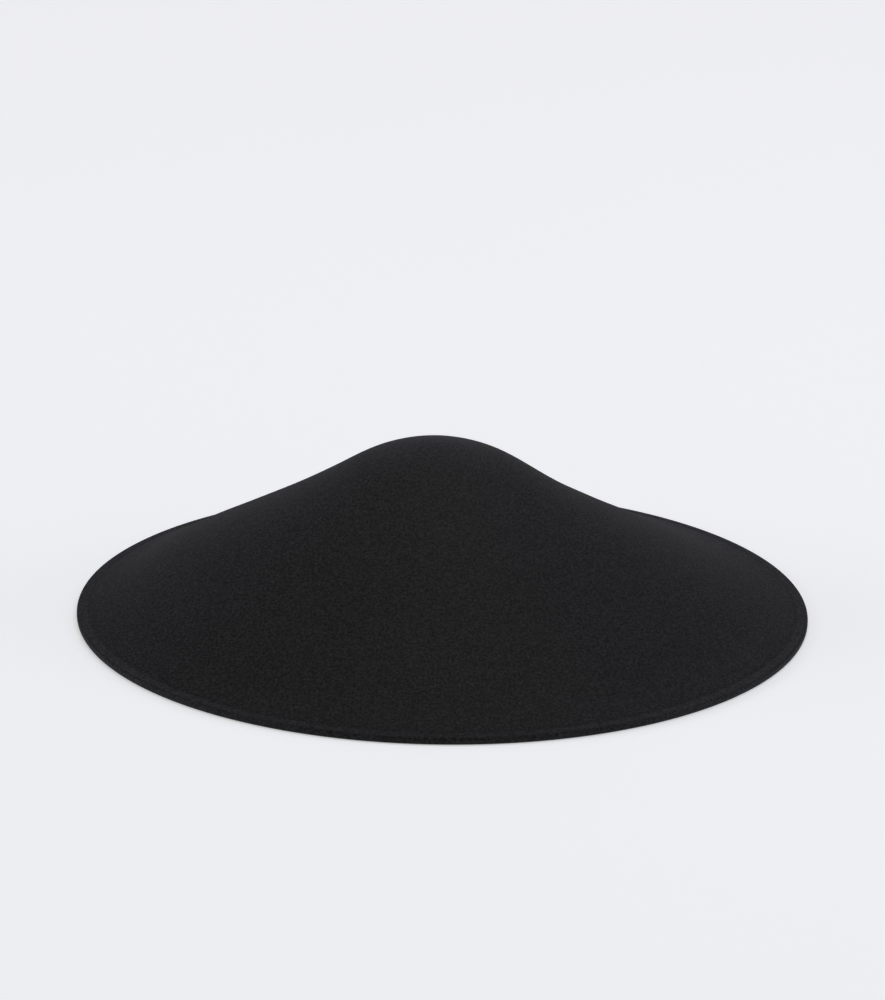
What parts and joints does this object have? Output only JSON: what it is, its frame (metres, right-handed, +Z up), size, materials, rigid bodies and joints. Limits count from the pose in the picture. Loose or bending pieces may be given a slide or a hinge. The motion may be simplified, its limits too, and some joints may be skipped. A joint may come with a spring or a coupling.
{
  "type": "wool felt hat",
  "caption": "Wide, shallow bell-shaped hat in black wool felt. Crown and brim run into each other without a break, and the rim is turned under.",
  "frame": {"origin": "middle of the rim, on the surface that the hat rests on", "axes": "+Z up through the crown, -Y the front that the picture shows, +X to the right as seen from the front"},
  "size_m": [0.48, 0.48, 0.117],
  "materials": {
    "black_wool_felt": "matt pressed wool felt with a fine grain and a soft sheen at grazing angles",
    "black_thread": "matt twisted sewing thread"
  },
  "bodies": {
    "root": {"felt_body": "black_wool_felt"}
  },
  "joints": []
}
